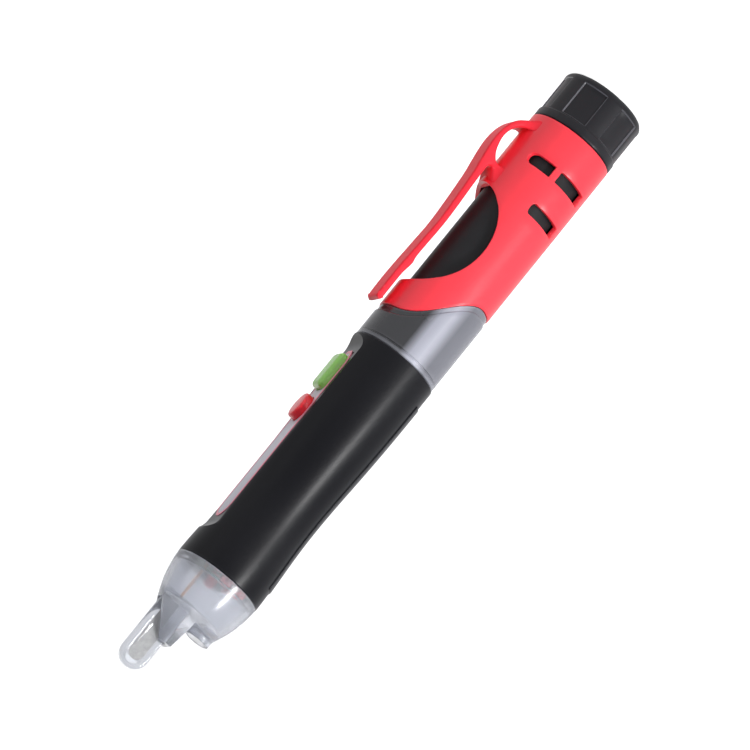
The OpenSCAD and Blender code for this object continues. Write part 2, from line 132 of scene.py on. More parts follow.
def makeFloor():
    look = {"half": 1.2, "paint": (0.86, 0.86, 0.87, 1), "glow": 0.4, "cameraGlow": 0.5}
    mesh = bpy.data.meshes.new("floor")
    half = look["half"]
    corners = [(-half, -half, 0), (half, -half, 0), (half, half, 0), (-half, half, 0)]
    mesh.from_pydata(corners, [], [(0, 1, 2, 3)])
    floor = bpy.data.objects.new("floor", mesh)
    scene.collection.objects.link(floor)
    material = bpy.data.materials.new("floorWhite")
    material.use_nodes = True
    tree = material.node_tree
    tree.nodes.clear()
    out = tree.nodes.new("ShaderNodeOutputMaterial")
    paint = tree.nodes.new("ShaderNodeBsdfDiffuse")
    paint.inputs["Color"].default_value = look["paint"]
    rays = tree.nodes.new("ShaderNodeLightPath")
    glow = tree.nodes.new("ShaderNodeEmission")
    bright = mathNode(tree, "MULTIPLY", rays.outputs["Is Camera Ray"], look["cameraGlow"])
    tree.links.new(mathNode(tree, "ADD", bright, look["glow"]), glow.inputs["Strength"])
    both = tree.nodes.new("ShaderNodeAddShader")
    clear = tree.nodes.new("ShaderNodeEmission")
    clear.inputs["Strength"].default_value = 1
    mix = tree.nodes.new("ShaderNodeMixShader")
    tree.links.new(paint.outputs[0], both.inputs[0])
    tree.links.new(glow.outputs[0], both.inputs[1])
    tree.links.new(rays.outputs["Is Transmission Ray"], mix.inputs["Fac"])
    tree.links.new(both.outputs[0], mix.inputs[1])
    tree.links.new(clear.outputs[0], mix.inputs[2])
    tree.links.new(mix.outputs[0], out.inputs["Surface"])
    mesh.materials.append(material)


aim, toCamera = makeCamera()
makeWorld()
makeFloor()
# The key light stands where its reflection falls a little behind the middle of the barrel
lamps = {
    "keyLight": {"toCamera": 0.42, "back": 0.36, "up": -0.03, "size": (0.06, 0.26), "power": 2.5},
    "frontLight": {"toCamera": 0.25, "back": -0.6, "up": 0.1, "size": (0.3, 0.3), "power": 0.5},
    "fillLight": {"toCamera": -0.5, "back": 0, "up": 0.45, "size": (0.6, 0.6), "power": 0.6},
}
for name, lamp in lamps.items():
    spot = aim + toCamera * lamp["toCamera"] + Vector((0, lamp["back"], lamp["up"]))
    makeLight(name, spot, aim, lamp["size"], lamp["power"])
print("camera, floor and lights are set")


def newGroup(name, ins, outs):
    group = bpy.data.node_groups.new(name, "ShaderNodeTree")
    for label, kind, value in ins:
        socket = group.interface.new_socket(name=label, in_out="INPUT", socket_type=kind)
        socket.default_value = value
    for label, kind in outs:
        group.interface.new_socket(name=label, in_out="OUTPUT", socket_type=kind)
    entry = group.nodes.new("NodeGroupInput")
    leave = group.nodes.new("NodeGroupOutput")
    return group, entry, leave


def buildMouldGrain():
    group, entry, leave = newGroup("mouldGrain", [
        ("Grain Scale", "NodeSocketFloat", 3000.0), ("Patch Scale", "NodeSocketFloat", 120.0),
        ("Roughness", "NodeSocketFloat", 0.4), ("Variation", "NodeSocketFloat", 0.08)],
        [("Height", "NodeSocketFloat"), ("Roughness", "NodeSocketFloat"),
         ("Patch", "NodeSocketFloat")])
    where = group.nodes.new("ShaderNodeTexCoord")
    grain = group.nodes.new("ShaderNodeTexNoise")
    grain.inputs["Detail"].default_value = 3
    patch = group.nodes.new("ShaderNodeTexNoise")
    patch.inputs["Detail"].default_value = 4
    for noise, label in ((grain, "Grain Scale"), (patch, "Patch Scale")):
        group.links.new(where.outputs["Object"], noise.inputs["Vector"])
        group.links.new(entry.outputs[label], noise.inputs["Scale"])
    centred = mathNode(group, "SUBTRACT", patch.outputs["Fac"], 0.5)
    spread = mathNode(group, "MULTIPLY", centred, entry.outputs["Variation"])
    rough = mathNode(group, "ADD", spread, entry.outputs["Roughness"])
    group.links.new(grain.outputs["Fac"], leave.inputs["Height"])
    group.links.new(rough, leave.inputs["Roughness"])
    group.links.new(patch.outputs["Fac"], leave.inputs["Patch"])
    return group


def buildEdgeWear():
    group, entry, leave = newGroup("edgeWear", [
        ("Base", "NodeSocketColor", (0, 0, 0, 1)), ("Worn", "NodeSocketColor", (1, 1, 1, 1)),
        ("Amount", "NodeSocketFloat", 0.3), ("Patch", "NodeSocketFloat", 0.5)],
        [("Color", "NodeSocketColor")])
    shape = group.nodes.new("ShaderNodeNewGeometry")
    edge = mathNode(group, "SUBTRACT", shape.outputs["Pointiness"], 0.52)
    wide = mathNode(group, "MULTIPLY", edge, 12.0)
    mask = group.nodes.new("ShaderNodeClamp")
    group.links.new(wide, mask.inputs["Value"])
    broken = mathNode(group, "MULTIPLY", mask.outputs[0], entry.outputs["Patch"])
    amount = mathNode(group, "MULTIPLY", broken, entry.outputs["Amount"])
    mix = group.nodes.new("ShaderNodeMix")
    mix.data_type = "RGBA"
    group.links.new(amount, mix.inputs["Factor"])
    group.links.new(entry.outputs["Base"], mix.inputs["A"])
    group.links.new(entry.outputs["Worn"], mix.inputs["B"])
    group.links.new(mix.outputs["Result"], leave.inputs["Color"])
    return group


mouldGrain = buildMouldGrain()
edgeWear = buildEdgeWear()


# Smoked plastic: the dark battery tube shows through in front, and the back half is painted lighter
# as a painted reflection of the studio light, with a painted highlight band
def smokeAndPaintedSheen(tree, smokeAndSheenBands, color):
    reach, cool = 10, (1, 1.02, 1.2)
    where = tree.nodes.new("ShaderNodeTexCoord")
    split = tree.nodes.new("ShaderNodeSeparateXYZ")
    across = tree.nodes.new("ShaderNodeMapRange")
    across.inputs["From Min"].default_value = -reach * mm
    across.inputs["From Max"].default_value = reach * mm
    ramp = tree.nodes.new("ShaderNodeValToRGB")
    stops = ramp.color_ramp.elements
    while len(stops) < len(smokeAndSheenBands):
        stops.new(0.5)
    for stop, (y, tone) in zip(stops, smokeAndSheenBands):
        stop.position = (y + reach) / (2 * reach)
        stop.color = (*(tone * part for part in cool), 1)
    shadeOver = tree.nodes.new("ShaderNodeMix")
    shadeOver.data_type = "RGBA"
    shadeOver.blend_type = "MULTIPLY"
    shadeOver.inputs["Factor"].default_value = 1
    tree.links.new(where.outputs["Object"], split.inputs[0])
    tree.links.new(split.outputs["Y"], across.inputs["Value"])
    tree.links.new(across.outputs["Result"], ramp.inputs["Fac"])
    tree.links.new(ramp.outputs["Color"], shadeOver.inputs["A"])
    tree.links.new(color, shadeOver.inputs["B"])
    return shadeOver.outputs["Result"]


def plasticMaterial(name, base, worn, look):
    material = bpy.data.materials.new(name)
    material.use_nodes = True
    tree = material.node_tree
    shader = tree.nodes["Principled BSDF"]
    grain = tree.nodes.new("ShaderNodeGroup")
    grain.node_tree = mouldGrain
    grain.inputs["Grain Scale"].default_value = look.get("grainScale", 3000)
    grain.inputs["Patch Scale"].default_value = look.get("patchScale", 120)
    grain.inputs["Roughness"].default_value = look.get("roughness", 0.4)
    grain.inputs["Variation"].default_value = look.get("variation", 0.08)
    wear = tree.nodes.new("ShaderNodeGroup")
    wear.node_tree = edgeWear
    wear.inputs["Worn"].default_value = (*worn, 1)
    wear.inputs["Amount"].default_value = look.get("wear", 0.3)
    tint = tree.nodes.new("ShaderNodeMix")
    tint.data_type = "RGBA"
    tint.inputs["A"].default_value = (*base, 1)
    shade = look.get("shade", 0.88)
    tint.inputs["B"].default_value = (*(part * shade for part in base), 1)
    tree.links.new(grain.outputs["Patch"], tint.inputs["Factor"])
    color = tint.outputs["Result"]
    # The ring's painted reflection and painted highlight go into its colour here
    if "smokeAndSheenBands" in look:
        color = smokeAndPaintedSheen(tree, look["smokeAndSheenBands"], color)
    tree.links.new(color, wear.inputs["Base"])
    tree.links.new(grain.outputs["Patch"], wear.inputs["Patch"])
    tree.links.new(wear.outputs["Color"], shader.inputs["Base Color"])
    tree.links.new(grain.outputs["Roughness"], shader.inputs["Roughness"])
    bump = tree.nodes.new("ShaderNodeBump")
    bump.inputs["Strength"].default_value = look.get("bump", 0.15)
    bump.inputs["Distance"].default_value = look.get("bumpDepth", 0.00004)
    tree.links.new(grain.outputs["Height"], bump.inputs["Height"])
    tree.links.new(bump.outputs["Normal"], shader.inputs["Normal"])
    for label, value in look.get("plain", {}).items():
        shader.inputs[label].default_value = value
    return material


# Each finish has its colour, the colour of its worn edges and its look
plastics = {
    "gripBlack": ((0.003, 0.003, 0.005), (0.07, 0.07, 0.08), {
        "roughness": 0.3, "bump": 0.2, "plain": {"Specular IOR Level": 0.2}}),
    # Its lighter worn edges are partly wear and partly a painted highlight on the panel outlines
    "capBlack": ((0.008, 0.008, 0.011), (0.16, 0.16, 0.18), {
        "roughness": 0.36, "bump": 0.25, "wear": 0.6, "plain": {"Specular IOR Level": 0.3}}),
    # A lighter copy of the cap black, a painted highlight for the recess walls
    "capWallHighlight": ((0.1, 0.1, 0.115), (0.3, 0.3, 0.32), {
        "roughness": 0.22, "bump": 0.1}),
    "tubeBlack": ((0.007, 0.007, 0.009), (0.05, 0.05, 0.05), {
        "roughness": 0.45, "bump": 0.35, "grainScale": 2400, "plain": {"Specular IOR Level": 0.2}}),
    "sleeveRed": ((0.93, 0.034, 0.055), (1, 0.25, 0.3), {
        "roughness": 0.3, "bump": 0.12, "wear": 0.25, "shade": 0.93,
        "plain": {"Specular IOR Level": 0.45}}),
    "ringSmoke": ((1, 1, 1), (0.6, 0.62, 0.7), {
        "roughness": 0.26, "bump": 0.1, "wear": 0.6,
        # Dark smoked tone in front; the lighter back half and bright band are painted reflection
        # and painted highlight
        "smokeAndSheenBands": [(-10, 0.028), (-2.7, 0.018), (-0.6, 0.3), (1.6, 0.34), (4.6, 0.12), (9.4, 0.16)],
        "plain": {"Coat Weight": 0.3, "Coat Roughness": 0.12}}),
    "clipRed": ((0.93, 0.034, 0.055), (1, 0.25, 0.3), {
        "roughness": 0.42, "bump": 0.12, "wear": 0.25, "shade": 0.93,
        "plain": {"Specular IOR Level": 0.08}}),
    "noseFrost": ((0.8, 0.82, 0.88), (1, 1, 1), {
        "roughness": 0.19, "bump": 0.06, "shade": 0.94, "variation": 0.08,
        "plain": {"Transmission Weight": 0.8, "IOR": 1.45}}),
    "bladeClear": ((0.66, 0.68, 0.73), (1, 1, 1), {
        "roughness": 0.07, "variation": 0.03, "bump": 0.04, "shade": 0.98,
        "plain": {"Transmission Weight": 0.85, "IOR": 1.45}}),
    "lensClear": ((0.95, 0.96, 0.98), (1, 1, 1), {
        "roughness": 0.06, "bump": 0.02, "shade": 0.99,
        "plain": {"Transmission Weight": 0.9, "IOR": 1.45}}),
    "panelGrey": ((0.58, 0.56, 0.62), (0.8, 0.8, 0.84), {
        "roughness": 0.45, "bump": 0.12}),
    "panelPink": ((0.82, 0.26, 0.34), (1, 0.5, 0.5), {
        "roughness": 0.42, "bump": 0.1}),
    "buttonRed": ((0.86, 0.014, 0.03), (1, 0.3, 0.3), {
        "roughness": 0.22, "bump": 0.08, "variation": 0.04,
        "plain": {"Subsurface Weight": 0.2, "Subsurface Scale": 0.5,
                  "Subsurface Radius": (0.003, 0.0004, 0.0004)}}),
    "buttonGreen": ((0.36, 0.74, 0.16), (0.75, 0.95, 0.5), {
        "roughness": 0.24, "bump": 0.08, "variation": 0.04,
        "plain": {"Subsurface Weight": 0.35, "Subsurface Scale": 0.5,
                  "Subsurface Radius": (0.001, 0.003, 0.0005), "Transmission Weight": 0.15}}),
    "sensorFoil": ((0.75, 0.73, 0.68), (0.7, 0.68, 0.62), {
        "roughness": 0.42, "bump": 0.6, "grainScale": 5200, "patchScale": 1300, "shade": 0.3,
        "plain": {"Metallic": 0.5}}),
    "springSteel": ((0.62, 0.61, 0.58), (0.9, 0.9, 0.88), {
        "roughness": 0.28, "bump": 0.2, "plain": {"Metallic": 1}}),
    "cellJacket": ((0.03, 0.045, 0.06), (0.5, 0.5, 0.5), {
        "roughness": 0.3, "bump": 0.05, "plain": {"Metallic": 0.4}}),
    "boardGreen": ((0.02, 0.15, 0.07), (0.6, 0.5, 0.2), {
        "roughness": 0.35, "bump": 0.3, "grainScale": 1500}),
    "partBlack": ((0.01, 0.01, 0.011), (0.1, 0.1, 0.1), {
        "roughness": 0.5, "bump": 0.3}),
    "rubberBlack": ((0.008, 0.008, 0.009), (0.05, 0.05, 0.05), {
        "roughness": 0.7, "bump": 0.3}),
    "ledRed": ((0.85, 0.01, 0.02), (1, 0.4, 0.4), {
        "roughness": 0.25, "bump": 0.05, "plain": {"Transmission Weight": 0.3}}),
    "copperLead": ((0.72, 0.36, 0.16), (0.9, 0.6, 0.4), {
        "roughness": 0.3, "bump": 0.1, "plain": {"Metallic": 1}}),
}
materials = {name: plasticMaterial(name, *look) for name, look in plastics.items()}
print("materials are made")


# Millimetres, with Z up the pen from the cap's end face
pen = {"sleeveR": 10.05, "sleeveWall": 1.1, "gripR": 10.25, "capR": 9.85, "capTop": 12.4,
       "ringTop": 73.7, "noseLow": 133.6, "tip": 160.0, "flat": 8.65, "panelLow": 77.8,
       "panelLen": 45.4, "waist": 1.6, "waistShift": 1.6}


# Zero degrees is the front, where the buttons are
def polar(radius, angle, z):
    a = math.radians(angle)
    return Vector((-radius * math.sin(a), -radius * math.cos(a), z))


def newObject(name, points, faces):
    mesh = bpy.data.meshes.new(name)
    mesh.from_pydata([Vector(p) * mm for p in points], [], faces)
    piece = bpy.data.objects.new(name, mesh)
    scene.collection.objects.link(piece)
    return piece


def stations(name, rings, closed=True):
    count = len(rings[0])
    points = [p for ring in rings for p in ring]
    faces = []
    last = len(rings) if closed else len(rings) - 1
    for i in range(last):
        a, b = i * count, (i + 1) % len(rings) * count
        faces += [(a + k, a + (k + 1) % count, b + (k + 1) % count, b + k) for k in range(count)]
    if not closed:
        faces.append(tuple(range(count)))
        faces.append(tuple(range(len(points) - 1, len(points) - count - 1, -1)))
    return newObject(name, points, faces)


def tidyMesh(piece, sharp=35, merge=0.001):
    work = bmesh.new()
    work.from_mesh(piece.data)
    bmesh.ops.remove_doubles(work, verts=work.verts, dist=merge * mm)
    bmesh.ops.recalc_face_normals(work, faces=work.faces)
    work.to_mesh(piece.data)
    work.free()
    smoothByAngle(piece.data, sharp)


def smoothByAngle(mesh, sharp):
    mesh.shade_smooth()
    mesh.set_sharp_from_angle(angle=math.radians(sharp))


def bake(piece):
    graph = bpy.context.evaluated_depsgraph_get()
    solid = bpy.data.meshes.new_from_object(piece.evaluated_get(graph))
    piece.modifiers.clear()
    piece.data = solid


def bevel(piece, width, segments=2, angle=40):
    edge = piece.modifiers.new("bevel", "BEVEL")
    edge.width = width * mm
    edge.segments = segments
    edge.limit_method = "ANGLE"
    edge.angle_limit = math.radians(angle)
    edge.use_clamp_overlap = False
    bake(piece)


def cutWith(piece, cutter):
    cut = piece.modifiers.new("cut", "BOOLEAN")
    cut.operation = "DIFFERENCE"
    cut.solver = "EXACT"
    cut.object = cutter
    bake(piece)
    bpy.data.objects.remove(cutter)


def block(name, low, high):
    xs, ys, zs = zip(low, high)
    points = [(x, y, z) for x in xs for y in ys for z in zs]
    faces = [(0, 1, 3, 2), (4, 6, 7, 5), (0, 4, 5, 1), (2, 3, 7, 6), (0, 2, 6, 4), (1, 5, 7, 3)]
    piece = newObject(name, points, faces)
    tidyMesh(piece)
    return piece


def plate(name, outlines, thickness, edge, turn):
    work = bmesh.new()
    loops = []
    for outline in outlines:
        ring = [work.verts.new((u * mm, v * mm, -thickness / 2 * mm)) for u, v in outline]
        loops += [work.edges.new((ring[k], ring[(k + 1) % len(ring)])) for k in range(len(ring))]
    bmesh.ops.triangle_fill(work, edges=loops, use_beauty=True)
    work.faces.ensure_lookup_table()
    if work.faces[0].normal.z > 0:
        bmesh.ops.reverse_faces(work, faces=work.faces)
    raised = bmesh.ops.extrude_face_region(work, geom=list(work.faces))
    tops = [v for v in raised["geom"] if isinstance(v, bmesh.types.BMVert)]
    bmesh.ops.translate(work, verts=tops, vec=(0, 0, thickness * mm))
    bmesh.ops.recalc_face_normals(work, faces=work.faces)
    mesh = bpy.data.meshes.new(name)
    work.to_mesh(mesh)
    work.free()
    mesh.transform(turn)
    piece = bpy.data.objects.new(name, mesh)
    scene.collection.objects.link(piece)
    bevel(piece, edge, 3, 55)
    smoothByAngle(piece.data, 35)
    return piece


def frontPlane(y):
    return Matrix(((1, 0, 0, 0), (0, 0, -1, y * mm), (0, 1, 0, 0), (0, 0, 0, 1)))


def sidePlane(x):
    return Matrix(((0, 0, 1, x * mm), (1, 0, 0, 0), (0, 1, 0, 0), (0, 0, 0, 1)))


def arc(cx, cy, radius, start, end, count=10):
    return [(cx + radius * math.cos(math.radians(start + (end - start) * i / count)),
             cy + radius * math.sin(math.radians(start + (end - start) * i / count)))
            for i in range(count + 1)]


def roundedBox(width, low, height, radius, count=6):
    x, top = width / 2 - radius, low + height - radius
    return (arc(x, low + radius, radius, -90, 0, count) + arc(x, top, radius, 0, 90, count)
            + arc(-x, top, radius, 90, 180, count)
            + arc(-x, low + radius, radius, 180, 270, count))


def splineThrough(points, per=6):
    out = []
    for i in range(len(points) - 1):
        near = [max(0, min(len(points) - 1, i + k)) for k in (-1, 0, 1, 2)]
        a, b, c, d = (Vector(points[k]) for k in near)
        for k in range(per):
            t = k / per
            out.append(0.5 * (2 * b + (c - a) * t + (2 * a - 5 * b + 4 * c - d) * t ** 2
                              + (3 * b - a - 3 * c + d) * t ** 3))
    out.append(Vector(points[-1]))
    return out


def place(piece, body, material, slot, *replaced):
    indices = [face.material_index for face in piece.data.polygons]
    piece.data.materials.clear()
    piece.data.materials.append(materials[material])
    piece.data.polygons.foreach_set("material_index", indices)
    if body:
        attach(piece, body)
    if replaced:
        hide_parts(*replaced)
    return piece


def gripRadius(z):
    u = max(0, min(1, (z - pen["ringTop"]) / (pen["noseLow"] - pen["ringTop"])))
    return pen["gripR"] - pen["waist"] / 2 * math.sin(math.pi * u ** pen["waistShift"]) ** 2


def makeGrip():
    grip = {"scoop": 4.0, "scoopRun": 4.3, "flatLow": 77.3, "flatHigh": 124.2, "innerR": 8.05,
            "innerFlat": 6.95, "socketR": 9.0, "socketLow": 130.0, "edge": 0.18, "joint": 0.02,
            "frontColumns": 16, "wing": 58, "wingColumns": 8, "backColumns": 72, "lowRows": 14,
            "flatRows": 36, "scoopRows": 16, "highRows": 8, "wellHalf": 3.55, "wellFront": -9.5,
            "wellBack": -6.5, "wellLow": 78.3, "wellHigh": 98.2}
    noFlat = 99

    # How far in front of the axis the flat lies, which scoops out at both its ends
    def flatDepth(z):
        beyond = max(grip["flatLow"] - z, z - grip["flatHigh"], 0)
        if beyond >= grip["scoop"]:
            return noFlat
        return pen["flat"] + grip["scoop"] - math.sqrt(grip["scoop"] ** 2 - beyond ** 2)

    def outerRing(z, inset=0):
        radius = gripRadius(z) - inset
        depth = min(flatDepth(z) - inset, radius * 0.9999)
        crease = math.degrees(math.acos(depth / radius))
        ring = []
        for k in range(grip["frontColumns"]):
            s = -1 + 2 * k / grip["frontColumns"]
            x = -s * radius * math.sin(math.radians(crease))
            y = -min(depth, math.sqrt(radius ** 2 - x ** 2))
            ring.append(Vector((x, y, z)))
        wing, count = grip["wing"], grip["wingColumns"]
        angles = [crease + (wing - crease) * k / count for k in range(count)]
        behind = grip["backColumns"]
        angles += [wing + (360 - 2 * wing) * k / behind for k in range(behind)]
        angles += [360 - wing + (wing - crease) * k / count for k in range(count)]
        return ring + [polar(radius, a, z) for a in angles]

    def innerRing(z, radius, flat):
        ring = []
        for p in outerRing(100):
            away = math.hypot(p.x, p.y)
            reach = radius if p.y >= 0 else min(radius, flat * away / max(-p.y, 0.01))
            ring.append(Vector((p.x * reach / away, p.y * reach / away, z)))
        return ring

    low, high = pen["ringTop"] + grip["joint"], pen["noseLow"] - grip["joint"]
    edge = grip["edge"]
    scoopTop = grip["flatHigh"] + grip["scoopRun"]
    levels = []
    for start, end, rows in ((low + edge, grip["flatLow"], grip["lowRows"]),
                             (grip["flatLow"], grip["flatHigh"], grip["flatRows"]),
                             (grip["flatHigh"], scoopTop, grip["scoopRows"]),
                             (scoopTop, high - edge, grip["highRows"])):
        levels += [start + (end - start) * i / rows for i in range(rows)]
    levels.append(high - edge)
    rings = [outerRing(low, edge)] + [outerRing(z) for z in levels] + [outerRing(high, edge)]
    rings += [innerRing(high, grip["socketR"], noFlat),
              innerRing(grip["socketLow"], grip["socketR"], noFlat),
              innerRing(grip["socketLow"], grip["innerR"], grip["innerFlat"]),
              innerRing(low, grip["innerR"], grip["innerFlat"])]
    piece = stations("gripShell", rings)
    tidyMesh(piece, 32)
    well = block("well", (-grip["wellHalf"], grip["wellFront"], grip["wellLow"]),
                 (grip["wellHalf"], grip["wellBack"], grip["wellHigh"]))
    cutWith(piece, well)
    smoothByAngle(piece.data, 32)
    place(piece, "housing", "gripBlack", "black_plastic", "grip_housing")


def makeBackPlate():
    backPlate = {"low": 78.5, "length": 50.2, "halfAngle": 32, "proud": 0.25, "seat": 0.35,
                 "columns": 24, "rows": 48, "edge": 0.16}
    half, count = backPlate["halfAngle"], backPlate["columns"]
    angles = [180 - half + 2 * half * k / count for k in range(count + 1)]
    rings = []
    for i in range(backPlate["rows"] + 1):
        z = backPlate["low"] + backPlate["length"] * i / backPlate["rows"]
        outer = [polar(gripRadius(z) + backPlate["proud"], a, z) for a in angles]
        inner = [polar(gripRadius(z) - backPlate["seat"], a, z) for a in reversed(angles)]
        rings.append(outer + inner)
    piece = stations("backPlate", rings, closed=False)
    tidyMesh(piece, 32)
    bevel(piece, backPlate["edge"], 2)
    place(piece, "housing", "gripBlack", "black_plastic", "back_plate")


panel = {"width": 7.6, "taper": 3.2, "footHalf": 1.4, "face": 8.76, "thickness": 0.6,
         "border": 0.75, "borderRise": 0.03, "overlap": 0.02}


# A round top and a foot that narrows
def panelOutline(inset):
    half = panel["width"] / 2 - inset
    top = pen["panelLow"] + pen["panelLen"] - panel["width"] / 2
    low, shoulder = pen["panelLow"] + inset, pen["panelLow"] + panel["taper"]
    foot = panel["footHalf"] - inset * 0.5
    return (arc(0, top, half, 0, 180, 24)
            + [(-half, shoulder), (-foot, low), (foot, low), (half, shoulder)])


def circleLine(z, radius, count=48):
    turns = [2 * math.pi * k / count for k in range(count)]
    return [(radius * math.cos(turn), z + radius * math.sin(turn)) for turn in turns]


button = {"greenZ": 84.0, "greenLen": 9.0, "greenW": 5.6, "redZ": 93.9, "redR": 3.15, "gap": 0.15,
          "rise": 1.85, "holeRound": 1.55, "base": 7.6, "flange": 0.5, "flangeRise": 0.4}


def makePanel():
    gap = button["gap"]
    low = button["greenZ"] - button["greenLen"] / 2 - gap
    greenHole = roundedBox(button["greenW"] + 2 * gap, low, button["greenLen"] + 2 * gap,
                           button["holeRound"])
    redHole = circleLine(button["redZ"], button["redR"] + gap)
    middle = -(panel["face"] - panel["thickness"] / 2)
    inner = plate("panelInlay", [panelOutline(panel["border"]), greenHole, redHole],
                  panel["thickness"], 0.05, frontPlane(middle))
    place(inner, "housing", "panelGrey", "panel_grey", "front_panel")
    innerLine = panelOutline(panel["border"] - panel["overlap"])
    border = plate("panelBorder", [panelOutline(0), innerLine],
                   panel["thickness"], 0.08, frontPlane(middle - panel["borderRise"]))
    place(border, "housing", "panelPink", "panel_grey")


def makeButtons():
    top, base, r = pen["flat"] + button["rise"], button["base"], button["redR"]
    collar = base + button["flangeRise"]
    profile = [(0, base), (r + button["flange"], base), (r + button["flange"], collar),
               (r, collar + 0.02), (r, top - 0.5), (r - 0.08, top - 0.24), (r - 0.3, top - 0.06),
               (r - 0.7, top), (0, top + 0.02)]
    rings = [[Vector((u, -depth, v)) for u, v in circleLine(button["redZ"], max(radius, 0.001), 64)]
             for radius, depth in profile]
    red = stations("redButton", rings, closed=False)
    tidyMesh(red, 50, 0.01)
    place(red, "red_button", "buttonRed", "button_red", "red_button")
    levels = [(-button["flange"], base), (-button["flange"], collar), (0, collar + 0.02),
              (0, top - 0.85), (0.06, top - 0.55), (0.3, top - 0.2), (0.55, top - 0.04),
              (0.95, top)]
    rings = []
    for inset, depth in levels:
        outline = roundedBox(button["greenW"] - 2 * inset,
                             button["greenZ"] - button["greenLen"] / 2 + inset * 1.3,
                             button["greenLen"] - 2.6 * inset, max(1.1 - inset * 0.6, 0.3), 8)
        rings.append([Vector((u, -depth, v)) for u, v in outline])
    green = stations("greenButton", rings, closed=False)
    tidyMesh(green, 50, 0.01)
    place(green, "green_button", "buttonGreen", "button_green", "green_button")


sweep = {"middle": 59.75, "rise": 5.75, "shift": 0.9, "halfWidth": 8}


# The joint of sleeve and ring climbs towards the front
def sweepHeight(angle):
    y = -pen["sleeveR"] * math.cos(math.radians(angle))
    across = max(-1, min(1, (y + sweep["shift"]) / sweep["halfWidth"]))
    return sweep["middle"] - sweep["rise"] * math.sin(math.pi / 2 * across)


def makeLightRing():
    ring = {"innerR": 8.56, "joint": 0.06, "foot": 0.12, "seamLow": 72.3, "seam": 0.13,
            "top": 73.45, "edge": 0.2, "columns": 120, "rows": 12}
    r, top, foot = pen["sleeveR"], pen["ringTop"] - ring["joint"], ring["foot"]
    seamLow, seam = ring["seamLow"], ring["seam"]
    lows = [(foot, r - 0.4), (0.2, r - 0.3), (1.5, r - 0.27), (1.7, r - 0.04), (1.85, r)]
    highs = [(seamLow, r), (seamLow + 0.12, r - seam), (seamLow + 0.32, r - seam),
             (seamLow + 0.44, r), (ring["top"], r), (top, r - ring["edge"]), (top, ring["innerR"])]
    angles = [360 * k / ring["columns"] for k in range(ring["columns"])]
    rings = [[polar(radius, a, sweepHeight(a) + lift) for a in angles] for lift, radius in lows]
    starts = [sweepHeight(a) + lows[-1][0] for a in angles]
    for i in range(1, ring["rows"]):
        rings.append([polar(r, a, start + (seamLow - start) * i / ring["rows"])
                      for a, start in zip(angles, starts)])
    rings += [[polar(radius, a, z) for a in angles] for z, radius in highs]
    rings.append([polar(ring["innerR"], a, sweepHeight(a) + foot) for a in angles])
    piece = stations("lightRing", rings)
    tidyMesh(piece, 38)
    place(piece, "housing", "ringSmoke", "smoky_plastic", "light_ring")


